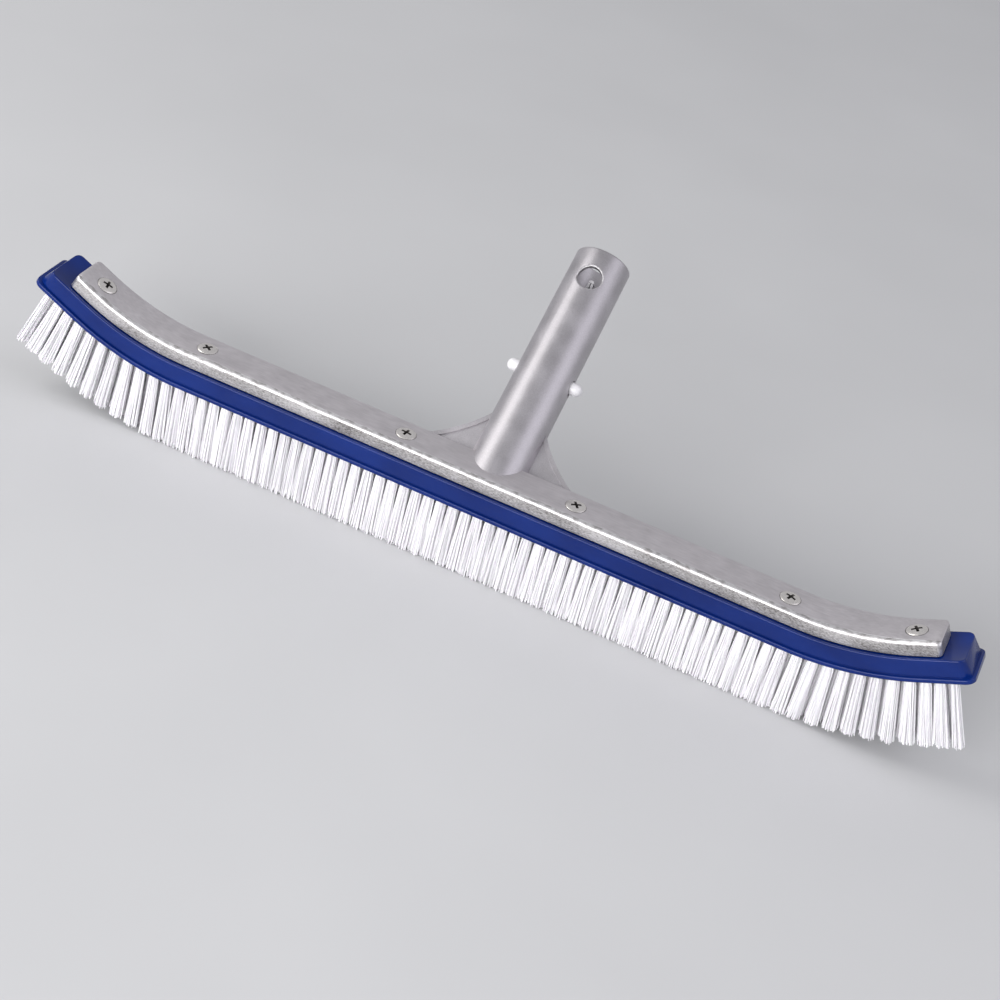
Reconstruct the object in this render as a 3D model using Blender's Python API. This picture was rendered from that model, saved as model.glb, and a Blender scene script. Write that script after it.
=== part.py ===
"""Curved pool wall brush: an aluminium casting that is both back bar and pole tube, screwed to a plastic
block that holds five staggered rows of nylon tufts. A spring clip in the tube has two pins that latch the pole.

Metres, +Z up. X runs along the brush, the tube leans back towards +Y, and the bristles point down. The brush
stands on its bristle tips at Z = 0, with the origin under the middle of the bar.
"""

import math

import bmesh
import bpy
from mathutils import Matrix, Vector

# The brush line: the flat top of the bar, straight in the middle and bent upwards towards both ends.
STRAIGHT_HALF = 0.1550
BEND_RADIUS = 0.1230
BEND_ANGLE = math.radians(25.0)
BEND_STEPS = 8

# Clearances
SEAT_GAP = 0.0003  # between pieces that rest on or sit in each other
PIN_GAP = 0.0004  # round a pin in its hole

# The bar of the casting
BAR_INSET = 0.0100  # from the block's end to the bar's end, along the brush line
BAR_DEPTH = 0.0205
BAR_HEIGHT = 0.0070
BAR_EDGE_RADIUS = 0.0017
BAR_EDGE_STEPS = 2
BAR_TOP_WALL = 0.0030
BAR_SIDE_WALL = 0.0025
BOSS_RADIUS = 0.0048
BOSS_STEPS = 16

# The pole tube of the casting
TUBE_TILT = math.radians(36.0)  # from the bar's top plane
TUBE_BEHIND = 0.01145  # from the bar's back to where the tube's axis crosses the bar's top plane
TUBE_LENGTH = 0.1076  # along the axis, from that crossing to the open end
TUBE_END_RADIUS = 0.0140
TUBE_TAPER = 0.0005  # how much the radius grows from the end to the foot
TUBE_WALL = 0.0026
FOOT_RECESS = 0.0005  # from the bar's underside and front to the cut-off foot of the tube and webs
BORE_FLOOR = 0.0146  # from that crossing to the closed end of the bore
HANG_HOLE_RADIUS = 0.0061
HANG_HOLE_FROM_END = 0.0161
ROUND_STEPS = 36

# The webs that brace the tube against the back of the bar
WEB_REACH = 0.0490  # along the bar, from the middle
WEB_RISE = 0.0258  # up the tube, from the back of the bar
WEB_HOLLOW = 0.28  # how far the curved edge is drawn in towards the corner of bar and tube
WEB_THICKNESS = 0.0026
WEB_STEPS = 7

# The plastic block
BLOCK_HALF = 0.2293  # along the brush line, from the middle to the end
BLOCK_LEDGE = 0.0025  # that shows in front of the bar and behind it
BLOCK_HEIGHT = 0.0110
BLOCK_CORNER = 0.0030
BLOCK_END_DRAFT = 0.0026  # how far the end's foot stands out past its top
LIP_OVERHANG = 0.0014
LIP_END_OVERHANG = 0.0014  # past the foot of the block's end
LIP_HEIGHT = 0.0022
LIP_CORNER = 0.0042
CORNER_STEPS = 3
MOULDED_EDGE = 0.0005  # the chamfer round the block and the lip

# The tufts
ROWS = 5  # each row has one tuft fewer than the row in front, so it stands half a pitch over
ROW_EDGE = 0.00235  # from the block's side to the middle of the outer rows
TUFT_EDGE = 0.0052  # from the block's end to the last tuft of the front row, at least
TUFT_PITCH = 0.00631  # along the brush line
TUFT_FAN = math.radians(22.0)  # the lean of the end tufts
TUFT_FAN_DELAY = 0.0120  # from the start of the bend to the first tuft that leans
TUFT_HOLE_RADIUS = 0.0024
TUFT_SIDES = 4
HOLE_ROOF = 0.0050  # of plastic over the tuft holes
TUFT_TRIM = 0.0350  # how far the bristles stand out of the block
TUFT_FLARE = 1.15  # tip width over root width
TIP_BAND = 0.0050  # height over which neighbouring tufts have merged
TUFTS_PER_SECTION = 3  # between two bends of the merged tips

# The screws
INNER_SCREW = 0.0434  # along the brush line, from the middle
OUTER_SCREW_FROM_END = 0.0125  # of the bar
OUTER_SCREW_PITCH = 0.0579  # between the outer and the middle screw of a side
HEAD_RADIUS = 0.00495
HEAD_CONE_DEPTH = 0.0022
HEAD_CROWN = 0.0007
CROWN_RADIUS = 0.0031  # where the flatter middle of the head begins
SHANK_RADIUS = 0.0021
SCREW_STEPS = 20
PILOT_FLOOR = 0.0010  # of plastic between a screw's tip and the tuft holes
PILOT_STEPS = 12
RECESS_LENGTH = 0.0052
RECESS_WIDTH = 0.0011
RECESS_DEPTH = 0.0016

# The spring clip in the tube
CLIP_WIDTH = 0.0090
CLIP_THICKNESS = 0.0012
CLIP_APEX_FROM_END = 0.0128
CLIP_BEND_CLEARANCE = 0.00005  # of the bend outside the legs' outer faces
PIN_FROM_END = 0.0669
PIN_RADIUS = 0.003175
PIN_STEPS = 20
PIN_CROWN_STEPS = 5
PIN_HOLE_STEPS = 24
PIN_REACH = 0.0055  # how far a pin stands out of the tube
PIN_HOLE_SHIFT = 0.0007  # towards the foot, because a pressed pin swings that way
LEG_TAIL = 0.0070  # of leg past the pin
CLIP_BEND_STEPS = 10
KNUCKLE_STEPS = 8

# Derived sizes
BAR_HALF = BLOCK_HALF - BAR_INSET
BLOCK_DEPTH = BAR_DEPTH + 2 * BLOCK_LEDGE
BLOCK_TOP = -BAR_HEIGHT - SEAT_GAP
BLOCK_BOTTOM = BLOCK_TOP - BLOCK_HEIGHT
LIP_TOP = BLOCK_BOTTOM + LIP_HEIGHT
LIP_DEPTH = BLOCK_DEPTH + 2 * LIP_OVERHANG
ROW_PITCH = (BLOCK_DEPTH - 2 * ROW_EDGE) / (ROWS - 1)
FRONT_TUFTS = math.floor(2 * (BLOCK_HALF - TUFT_EDGE) / TUFT_PITCH) + 1
TUFT_HOLE_DEPTH = BLOCK_HEIGHT - HOLE_ROOF
SCREW_BITE = HOLE_ROOF - PILOT_FLOOR
OUTER_SCREW = BAR_HALF - OUTER_SCREW_FROM_END
SCREW_STATIONS = (INNER_SCREW, OUTER_SCREW - OUTER_SCREW_PITCH, OUTER_SCREW)
TUBE_SETBACK = BAR_DEPTH / 2 + TUBE_BEHIND
TUBE_FOOT_RADIUS = TUBE_END_RADIUS + TUBE_TAPER
BORE_DEPTH = TUBE_LENGTH - BORE_FLOOR
BORE_RADIUS = TUBE_END_RADIUS - TUBE_WALL
CLIP_BEND_RADIUS = CLIP_THICKNESS + SEAT_GAP / 2 + CLIP_BEND_CLEARANCE
TUFT_RADIUS = TUFT_HOLE_RADIUS - SEAT_GAP / math.cos(math.pi / TUFT_SIDES)
TUBE_LEAN = Vector((0, math.cos(TUBE_TILT), math.sin(TUBE_TILT)))
LINE_LEVEL = TUFT_TRIM - BLOCK_BOTTOM  # of the bar's flat top above the bristle tips

# How far cutters run past what they cut
OVERCUT = 0.0020


def clear_scene():
    for old in list(bpy.data.objects):
        bpy.data.objects.remove(old)


def make_material(name, colour, roughness, metallic):
    material = bpy.data.materials.new(name)
    material.use_nodes = True
    shader = material.node_tree.nodes["Principled BSDF"]
    shader.inputs["Base Color"].default_value = (*colour, 1.0)
    shader.inputs["Roughness"].default_value = roughness
    shader.inputs["Metallic"].default_value = metallic
    return material


def make_object(name, mesh_builder, material=None, parent=None):
    """An object that owns the finished bmesh. Without a material it is a cutter or a helper, and hidden."""
    bmesh.ops.recalc_face_normals(mesh_builder, faces=mesh_builder.faces)
    mesh = bpy.data.meshes.new(name)
    mesh_builder.to_mesh(mesh)
    mesh_builder.free()
    mesh.shade_smooth()
    mesh.set_sharp_from_angle(angle=math.radians(30))
    made = bpy.data.objects.new(name, mesh)
    bpy.context.scene.collection.objects.link(made)
    made.parent = parent
    if material is None:
        made.hide_render = True
        made.display_type = "WIRE"
    else:
        mesh.materials.append(material)
    return made


def add_boolean(target, other, operation):
    modifier = target.modifiers.new(f"{operation.lower()} {other.name}", "BOOLEAN")
    modifier.operation = operation
    modifier.solver = "EXACT"
    modifier.object = other


def line_frame(along):
    """Takes (0, y, h) to the brush line at a signed length along it, with h up from the line."""
    side = math.copysign(1.0, along)
    length = abs(along)
    turned = min(max((length - STRAIGHT_HALF) / BEND_RADIUS, 0.0), BEND_ANGLE)
    beyond = max(length - STRAIGHT_HALF - BEND_RADIUS * BEND_ANGLE, 0.0)
    x = min(length, STRAIGHT_HALF) + BEND_RADIUS * math.sin(turned) + beyond * math.cos(turned)
    z = BEND_RADIUS * (1 - math.cos(turned)) + beyond * math.sin(turned)
    return Matrix.Translation((side * x, 0, z)) @ Matrix.Rotation(-side * turned, 4, "Y")


def tuft_frame(along):
    """Like line_frame, but with its origin on the block's underside and h up the tuft that leans there."""
    side = math.copysign(1.0, along)
    lead = (abs(along) - STRAIGHT_HALF - TUFT_FAN_DELAY) / (BEND_RADIUS * BEND_ANGLE)
    lean = TUFT_FAN * min(max(lead, 0.0), 1.0)
    mouth = line_frame(along) @ Vector((0, 0, BLOCK_BOTTOM))
    return Matrix.Translation(mouth) @ Matrix.Rotation(-side * lean, 4, "Y")


def line_stations(half_length, steps=BEND_STEPS):
    """Lengths along the brush line at which a symmetrical sweep needs a section."""
    step = BEND_RADIUS * BEND_ANGLE / steps
    bend = [STRAIGHT_HALF + i * step for i in range(steps + 1)]
    half = [station for station in bend if station < half_length] + [half_length]
    return [-station for station in reversed(half)] + half


def extrude_faces(builder, faces, matrix):
    """Extrudes neighbouring faces by moving their copies, and returns the copies."""
    edges = dict.fromkeys(edge for face in faces for edge in face.edges)
    made = bmesh.ops.extrude_face_region(builder, geom=[*faces, *edges])["geom"]
    copies = [item for item in made if isinstance(item, bmesh.types.BMFace)]
    verts = dict.fromkeys(vert for face in copies for vert in face.verts)
    bmesh.ops.transform(builder, matrix=matrix, verts=list(verts))
    return copies


def extend(builder, faces, stations, frame_at=line_frame):
    """Extrudes faces that stand at the first station on to the others, and returns their last copies."""
    frame = frame_at(stations[0])
    for station in stations[1:]:
        moved = frame_at(station)
        faces = extrude_faces(builder, faces, moved @ frame.inverted())
        frame = moved
    return faces


def sweep(outlines, stations, frame_at=line_frame):
    """A solid whose section is one or more neighbouring (y, h) outlines. Its end faces are returned with it."""
    builder = bmesh.new()
    frame = frame_at(stations[0])
    points = dict.fromkeys(point for outline in outlines for point in outline)
    verts = {point: builder.verts.new(frame @ Vector((0, *point))) for point in points}
    first = [builder.faces.new([verts[point] for point in outline]) for outline in outlines]
    return builder, first, extend(builder, first, stations, frame_at)


def outer_edges(builder):
    """The sharp convex edges."""
    bmesh.ops.recalc_face_normals(builder, faces=builder.faces)
    return [edge for edge in builder.edges if edge.is_convex and edge.calc_face_angle() > math.radians(60)]


def bevel_edges(builder, edges, width, steps):
    bmesh.ops.bevel(
        builder,
        geom=edges,
        offset=width,
        segments=steps,
        profile=0.5,
        affect="EDGES",
        material=-1,
        loop_slide=True,
    )


def rectangle(depth, low, high):
    return [(-depth / 2, low), (depth / 2, low), (depth / 2, high), (-depth / 2, high)]


def half_round(radius, steps):
    """Points (across, up) over the top of a half circle."""
    angles = [math.pi * step / steps for step in range(steps + 1)]
    return [(radius * math.cos(angle), radius * math.sin(angle)) for angle in angles]


def extruded_plate(outline, matrix, depth):
    """A plate from an (x, z) outline in the matrix's frame, as thick as depth along its Y."""
    builder = bmesh.new()
    face = builder.faces.new([builder.verts.new(matrix @ Vector((x, 0, z))) for x, z in outline])
    along = matrix.to_3x3() @ Vector((0, depth, 0))
    extrude_faces(builder, [face], Matrix.Translation(along))
    return builder


def add_cone(builder, matrix, low_radius, high_radius, depth, sides, phase=0.0):
    """A cone or cylinder that starts at the matrix's origin and runs along its Z."""
    turn = Matrix.Rotation(phase, 4, "Z")
    bmesh.ops.create_cone(
        builder,
        cap_ends=True,
        segments=sides,
        radius1=low_radius,
        radius2=high_radius,
        depth=depth,
        matrix=matrix @ Matrix.Translation((0, 0, depth / 2)) @ turn,
    )


def cylinder_object(name, matrix, radius, depth, sides, parent):
    builder = bmesh.new()
    add_cone(builder, matrix, radius, radius, depth, sides)
    return make_object(name, builder, parent=parent)


def tube_frame(along):
    """X across the brush, Y out of the tube's front and Z along its axis, from the bar's top plane."""
    across = Vector((1, 0, 0))
    front = Vector((0, -math.sin(TUBE_TILT), math.cos(TUBE_TILT)))
    turn = Matrix((across, front, TUBE_LEAN)).transposed().to_4x4()
    foot = Vector((0, TUBE_SETBACK, 0))
    return Matrix.Translation(foot + TUBE_LEAN * along) @ turn


def tube_radius(along):
    return TUBE_FOOT_RADIUS - TUBE_TAPER * along / TUBE_LENGTH


# --- the casting -------------------------------------------------------------------------------------------


def make_bar():
    """A channel along the brush line with closed ends, open below and rounded at every upper edge."""
    outer = rectangle(BAR_DEPTH, -BAR_HEIGHT, 0)
    cavity = rectangle(BAR_DEPTH - 2 * BAR_SIDE_WALL, -BAR_HEIGHT, -BAR_TOP_WALL)
    channel = [outer[0], cavity[0], cavity[3], cavity[2], cavity[1], *outer[1:]]
    half_stations = [station for station in line_stations(BAR_HALF - BAR_SIDE_WALL) if station < 0]
    builder, _, faces = sweep([channel, cavity], [-BAR_HALF, half_stations[0]])
    channel_end = max(faces, key=lambda face: len(face.verts))
    middle = extend(builder, [channel_end], [*half_stations, 0])
    bmesh.ops.delete(builder, geom=middle, context="FACES_ONLY")
    everything = [*builder.verts, *builder.edges, *builder.faces]
    bmesh.ops.mirror(builder, geom=everything, axis="X", merge_dist=SEAT_GAP / 10)
    edges = [edge for edge in outer_edges(builder) if all(face.normal.z > -0.8 for face in edge.link_faces)]
    bevel_edges(builder, edges, BAR_EDGE_RADIUS, BAR_EDGE_STEPS)
    return builder


def make_web(name, side, parent):
    """A flat brace in the plane of the tube's axis, with a hollow curved outer edge."""
    frame = tube_frame(0)
    root = -(TUBE_SETBACK - BAR_DEPTH / 2 + BAR_SIDE_WALL) / math.cos(TUBE_TILT)
    start = (WEB_REACH, root + BAR_SIDE_WALL)
    top = (TUBE_FOOT_RADIUS - OVERCUT, start[1] + WEB_RISE + BAR_SIDE_WALL)
    corner = (top[0], start[1])
    pull = [(1 - WEB_HOLLOW) * (start[k] + top[k]) / 2 + WEB_HOLLOW * corner[k] for k in (0, 1)]
    outline = []
    for i in range(WEB_STEPS + 1):
        t = i / WEB_STEPS
        weights = ((1 - t) ** 2, 2 * t * (1 - t), t**2)
        outline.append([sum(w * p[k] for w, p in zip(weights, (start, pull, top))) for k in (0, 1)])
    outline += [(0, top[1]), (0, root), (WEB_REACH, root)]
    plate = extruded_plate([(side * x, z) for x, z in outline], frame, WEB_THICKNESS)
    return make_object(name, plate, parent=parent)


def make_casting(material, parent):
    casting = make_object("handle_casting", make_bar(), material, parent)

    bosses = bmesh.new()
    for station in screw_stations():
        base = line_frame(station) @ Matrix.Translation((0, 0, -BAR_HEIGHT))
        add_cone(bosses, base, BOSS_RADIUS, BOSS_RADIUS, BAR_HEIGHT - BAR_TOP_WALL / 2, BOSS_STEPS)
    add_boolean(casting, make_object("join_bosses", bosses, parent=parent), "UNION")

    # The tube and webs run down past the bar, and boxes take off what is below it and in front of it.
    foot_run = (BAR_HEIGHT + 2 * TUBE_FOOT_RADIUS) / math.sin(TUBE_TILT)
    # The tube is turned by half a facet, so that no ridge of it lies in a face of a web.
    cone = bmesh.new()
    full_run = TUBE_LENGTH + foot_run
    half_facet = math.pi / ROUND_STEPS
    add_cone(cone, tube_frame(-foot_run), TUBE_FOOT_RADIUS, TUBE_END_RADIUS, full_run, ROUND_STEPS, half_facet)
    tube = make_object("join_tube", cone, parent=parent)
    for side in (-1, 1):
        add_boolean(tube, make_web(f"join_web_{side}", side, parent), "UNION")
    below = bmesh.new()
    reach = 2 * full_run
    level = FOOT_RECESS - BAR_HEIGHT
    bmesh.ops.create_cube(below, size=reach, matrix=Matrix.Translation((0, 0, level - reach / 2)))
    add_boolean(tube, make_object("cut_below_bar", below, parent=parent), "DIFFERENCE")
    before = bmesh.new()
    edge = FOOT_RECESS - BAR_DEPTH / 2
    bmesh.ops.create_cube(before, size=reach, matrix=Matrix.Translation((0, edge - reach / 2, 0)))
    add_boolean(tube, make_object("cut_before_bar", before, parent=parent), "DIFFERENCE")
    add_boolean(casting, tube, "UNION")

    cutters = bmesh.new()
    bore_start = TUBE_LENGTH - BORE_DEPTH
    add_cone(cutters, tube_frame(bore_start), BORE_RADIUS, BORE_RADIUS, BORE_DEPTH + OVERCUT, ROUND_STEPS)
    add_boolean(casting, make_object("cut_bore", cutters, parent=parent), "DIFFERENCE")

    through = 2 * (TUBE_FOOT_RADIUS + OVERCUT)
    centred = Matrix.Translation((0, 0, -through / 2))
    hang = tube_frame(TUBE_LENGTH - HANG_HOLE_FROM_END) @ Matrix.Rotation(math.pi / 2, 4, "X") @ centred
    hang_cutter = cylinder_object("cut_hang_hole", hang, HANG_HOLE_RADIUS, through, ROUND_STEPS, parent)
    add_boolean(casting, hang_cutter, "DIFFERENCE")

    pins_along = TUBE_LENGTH - PIN_FROM_END - PIN_HOLE_SHIFT
    pins = tube_frame(pins_along) @ Matrix.Rotation(math.pi / 2, 4, "Y") @ centred
    pin_hole_radius = PIN_RADIUS + PIN_GAP + PIN_HOLE_SHIFT
    pin_cutter = cylinder_object("cut_pin_holes", pins, pin_hole_radius, through, PIN_HOLE_STEPS, parent)
    add_boolean(casting, pin_cutter, "DIFFERENCE")

    screw_holes = bmesh.new()
    for station in screw_stations():
        add_screw_hole(screw_holes, line_frame(station))
    add_boolean(casting, make_object("cut_screw_holes", screw_holes, parent=parent), "DIFFERENCE")
    return casting


# --- the screws --------------------------------------------------------------------------------------------


def screw_stations():
    return [-s for s in reversed(SCREW_STATIONS)] + list(SCREW_STATIONS)


def turned_solid(matrix, profile, steps):
    """Turns (radius, height) points that start and end on the axis about the matrix's Z."""
    builder = bmesh.new()
    verts = [builder.verts.new((radius, 0, height)) for radius, height in profile]
    edges = [builder.edges.new(pair) for pair in zip(verts, verts[1:])]
    bmesh.ops.spin(
        builder,
        geom=verts + edges,
        cent=(0, 0, 0),
        axis=(0, 0, 1),
        angle=2 * math.pi,
        steps=steps,
        use_merge=True,
    )
    bmesh.ops.remove_doubles(builder, verts=builder.verts, dist=1e-6)
    bmesh.ops.transform(builder, matrix=matrix, verts=builder.verts)
    return builder


def add_screw_hole(builder, frame):
    """A clearance hole with a countersink whose mouth opens at the top of the bar."""
    hole_radius = SHANK_RADIUS + SEAT_GAP
    drop = BAR_HEIGHT + OVERCUT
    profile = [
        (0, -drop),
        (hole_radius, -drop),
        (hole_radius, -HEAD_CONE_DEPTH),
        (HEAD_RADIUS + SEAT_GAP, 0),
        (HEAD_RADIUS + SEAT_GAP, OVERCUT),
        (0, OVERCUT),
    ]
    piece = turned_solid(frame, profile, SCREW_STEPS)
    mesh = bpy.data.meshes.new("screw_hole")
    piece.to_mesh(mesh)
    piece.free()
    builder.from_mesh(mesh)
    bpy.data.meshes.remove(mesh)


def make_screw(name, station, material, parent):
    """An oval-head self-tapping screw with a cross recess."""
    tip = -BAR_HEIGHT - SEAT_GAP - SCREW_BITE
    profile = [
        (0, tip),
        (SHANK_RADIUS / 2, tip),
        (SHANK_RADIUS, tip + SHANK_RADIUS),
        (SHANK_RADIUS, -HEAD_CONE_DEPTH + SEAT_GAP),
        (HEAD_RADIUS, SEAT_GAP),
        (CROWN_RADIUS, HEAD_CROWN),
        (0, HEAD_CROWN + SEAT_GAP),
    ]
    frame = line_frame(station)
    screw = make_object(name, turned_solid(Matrix.Identity(4), profile, SCREW_STEPS), material, parent)
    screw.matrix_local = frame
    for index in range(2):
        slot = bmesh.new()
        turn = Matrix.Rotation(math.pi / 4 + index * math.pi / 2, 4, "Z")
        size = Matrix.Diagonal((RECESS_LENGTH, RECESS_WIDTH, 2 * RECESS_DEPTH, 1))
        bmesh.ops.create_cube(slot, size=1, matrix=Matrix.Translation((0, 0, HEAD_CROWN)) @ turn @ size)
        cutter = make_object(f"cut_recess_{name}_{index}", slot, parent=parent)
        cutter.matrix_local = frame
        add_boolean(screw, cutter, "DIFFERENCE")
    return screw


# --- the block and its tufts -------------------------------------------------------------------------------


def row_offsets():
    return [(row - (ROWS - 1) / 2) * ROW_PITCH for row in range(ROWS)]


def tuft_stations(row):
    count = FRONT_TUFTS - row
    return [(index - (count - 1) / 2) * TUFT_PITCH for index in range(count)]


def corner_edges(builder, rise):
    """The outer edges that are exactly this rise up the block, at the end where the rise points."""
    return [
        edge for edge in outer_edges(builder)
        if min((edge.verts[1].co - edge.verts[0].co - way * rise).length for way in (-1, 1)) < OVERCUT / 100
    ]


def add_tuft(builder, matrix, low_radius, high_radius, depth):
    """One bundle, square to the rows."""
    add_cone(builder, matrix, low_radius, high_radius, depth, TUFT_SIDES, math.pi / TUFT_SIDES)


def make_block(material, parent):
    """One moulding: a block with a lip round its foot, tuft holes below and screw holes above."""
    upper = rectangle(BLOCK_DEPTH, LIP_TOP, BLOCK_TOP)
    foot = rectangle(LIP_DEPTH, BLOCK_BOTTOM, LIP_TOP)
    lower = [*foot[:3], upper[1], upper[0], foot[3]]
    builder, first, last = sweep([upper, lower], line_stations(BLOCK_HALF))
    for faces, side in ((first, -1), (last, 1)):
        along, _, up, _ = line_frame(side * BLOCK_HALF).col
        outwards = side * along.xyz
        lip_end, block_end = sorted(faces, key=lambda face: face.calc_center_median().z)
        foot_verts = sorted(block_end.verts, key=lambda vert: vert.co.dot(up.xyz))[:2]
        lip_run = BLOCK_END_DRAFT + LIP_END_OVERHANG
        extrude_faces(builder, [lip_end], Matrix.Translation(lip_run * outwards))
        bmesh.ops.translate(builder, vec=BLOCK_END_DRAFT * outwards, verts=foot_verts)
        block_rise = (BLOCK_HEIGHT - LIP_HEIGHT) * up.xyz - BLOCK_END_DRAFT * outwards
        for radius, rise in ((BLOCK_CORNER, block_rise), (LIP_CORNER, LIP_HEIGHT * up.xyz)):
            bevel_edges(builder, corner_edges(builder, rise), radius, CORNER_STEPS)
    rims = [edge for edge in outer_edges(builder) if any(face.normal.z > 0.85 for face in edge.link_faces)]
    bevel_edges(builder, rims, MOULDED_EDGE, 1)
    block = make_object("brush_block", builder, material, parent)

    holes = bmesh.new()
    for row, offset in enumerate(row_offsets()):
        for along in tuft_stations(row):
            mouth = tuft_frame(along) @ Matrix.Translation((0, offset, -OVERCUT))
            add_tuft(holes, mouth, TUFT_HOLE_RADIUS, TUFT_HOLE_RADIUS, TUFT_HOLE_DEPTH + OVERCUT)
    add_boolean(block, make_object("cut_tuft_holes", holes, parent=parent), "DIFFERENCE")

    pilots = bmesh.new()
    depth = SCREW_BITE + SEAT_GAP
    for station in screw_stations():
        base = line_frame(station) @ Matrix.Translation((0, 0, BLOCK_TOP - depth))
        radius = SHANK_RADIUS + SEAT_GAP
        add_cone(pilots, base, radius, radius, depth + OVERCUT, PILOT_STEPS)
    add_boolean(block, make_object("cut_pilot_holes", pilots, parent=parent), "DIFFERENCE")
    return block


def make_tuft_zone(name, stations, offset, material, parent):
    """The tufts of one row in one zone. Apart at the roots, they have merged at the trimmed tips."""
    reach = (TUFT_PITCH - SEAT_GAP) / 2
    bent = [along for along in stations[1:-1:TUFTS_PER_SECTION] if abs(along) > STRAIGHT_HALF]
    sections = [stations[0] - reach, *bent, stations[-1] + reach]
    outline = [(y + offset, h - TUFT_TRIM) for y, h in rectangle(ROW_PITCH - SEAT_GAP, 0, TIP_BAND)]
    band = make_object(name, sweep([outline], sections, tuft_frame)[0], material, parent)

    tufts = bmesh.new()
    root = TUFT_HOLE_DEPTH - SEAT_GAP
    depth = root + TUFT_TRIM - TIP_BAND / 2
    for along in stations:
        base = tuft_frame(along) @ Matrix.Translation((0, offset, root - depth))
        add_tuft(tufts, base, TUFT_RADIUS * TUFT_FLARE, TUFT_RADIUS, depth)
    add_boolean(band, make_object(f"join_{name}", tufts, parent=parent), "UNION")
    return band


# --- the clip ----------------------------------------------------------------------------------------------


def leg_pivot_x():
    return (CLIP_THICKNESS + SEAT_GAP) / 2


def pivot_along():
    """Where along the tube the legs flex, just under the bend."""
    return TUBE_LENGTH - CLIP_APEX_FROM_END - CLIP_BEND_RADIUS - CLIP_THICKNESS / 2 - SEAT_GAP


def make_clip_bend(material, parent):
    """The closed end of the clip: a half-round strip."""
    centre = pivot_along() + CLIP_THICKNESS / 2 + SEAT_GAP
    frame = tube_frame(centre) @ Matrix.Translation((0, -CLIP_WIDTH / 2, 0))
    plate = extruded_plate(half_round(CLIP_BEND_RADIUS, CLIP_BEND_STEPS), frame, CLIP_WIDTH)
    return make_object("clip_bend", plate, material, parent)


def make_clip_leg(name, side, material, parent):
    """One flat leg with its round-ended pin, in the frame of its pivot: X outwards, Z along the tube."""
    pivot = bpy.data.objects.new(f"pivot_{name}", None)
    bpy.context.scene.collection.objects.link(pivot)
    pivot.parent = parent
    pivot.matrix_local = tube_frame(pivot_along()) @ Matrix.Translation((side * leg_pivot_x(), 0, 0))

    pin_drop = PIN_FROM_END - (TUBE_LENGTH - pivot_along())
    wall_room = math.sqrt(BORE_RADIUS**2 - (CLIP_WIDTH / 2) ** 2)
    spread = wall_room - PIN_GAP - CLIP_THICKNESS / 2 - leg_pivot_x()
    splay = math.atan2(spread, pin_drop + LEG_TAIL)
    length = (pin_drop + LEG_TAIL) / math.cos(splay)
    half = CLIP_THICKNESS / 2

    outline = [*half_round(half, KNUCKLE_STEPS), (-half, -length), (half, -length)]
    lean = Matrix.Translation((0, -CLIP_WIDTH / 2, 0)) @ Matrix.Rotation(-side * splay, 4, "Y")
    leg = make_object(name, extruded_plate(outline, lean, CLIP_WIDTH), material, pivot)

    pin_at = TUBE_LENGTH - PIN_FROM_END
    tip = tube_radius(pin_at) + PIN_REACH - leg_pivot_x()
    root = pin_drop * math.tan(splay)
    dome = half_round(PIN_RADIUS, 2 * PIN_CROWN_STEPS)[:PIN_CROWN_STEPS]
    crown = [(radius, tip - PIN_RADIUS + rise) for radius, rise in dome]
    profile = [(0, root), (PIN_RADIUS, root), *crown, (0, tip)]
    outwards = Matrix.Translation((0, 0, -pin_drop)) @ Matrix.Rotation(side * math.pi / 2, 4, "Y")
    pin = make_object(f"join_pin_{name}", turned_solid(outwards, profile, PIN_STEPS), parent=pivot)
    add_boolean(leg, pin, "UNION")
    return leg


def main():
    clear_scene()
    aluminium = make_material("aluminium_cast", (0.62, 0.60, 0.62), 0.34, 1.0)
    blue = make_material("blue_plastic", (0.02, 0.06, 0.30), 0.30, 0.0)
    nylon = make_material("white_nylon", (0.86, 0.85, 0.92), 0.45, 0.0)
    steel = make_material("screw_steel", (0.72, 0.68, 0.64), 0.28, 1.0)
    acetal = make_material("clip_plastic", (0.88, 0.88, 0.90), 0.40, 0.0)

    frame = bpy.data.objects.new("brush_frame", None)
    bpy.context.scene.collection.objects.link(frame)
    frame.location = (0, 0, LINE_LEVEL)

    make_casting(aluminium, frame)
    make_block(blue, frame)

    places = ("left_outer", "left_middle", "left_inner", "right_inner", "right_middle", "right_outer")
    for place, station in zip(places, screw_stations()):
        make_screw(f"screw_{place}", station, steel, frame)

    for row, offset in enumerate(row_offsets()):
        stations = tuft_stations(row)
        zones = {
            "left": [along for along in stations if along < -STRAIGHT_HALF],
            "middle": [along for along in stations if abs(along) <= STRAIGHT_HALF],
            "right": [along for along in stations if along > STRAIGHT_HALF],
        }
        for zone, members in zones.items():
            make_tuft_zone(f"bristles_row{row + 1}_{zone}", members, offset, nylon, frame)

    make_clip_bend(acetal, frame)
    make_clip_leg("clip_leg_left", -1, acetal, frame)
    make_clip_leg("clip_leg_right", 1, acetal, frame)


main()
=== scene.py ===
# %% [markdown]
# # A curved pool wall brush, finished for a picture
#
# The brush has four kinds of piece: an aluminium casting that is back bar and pole tube in one, a blue
# moulded block, tufts of nylon set in that block, and small fittings (six screws and a spring clip).
# The engineering model already holds every one of them at its real size. This lesson replaces each plain
# solid with a finely modelled twin in exactly the same place, and gives each a finish of its own.

# %% Load the engineering model
import math
import random

import bmesh
import bpy
from mathutils import Matrix, Vector


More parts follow.
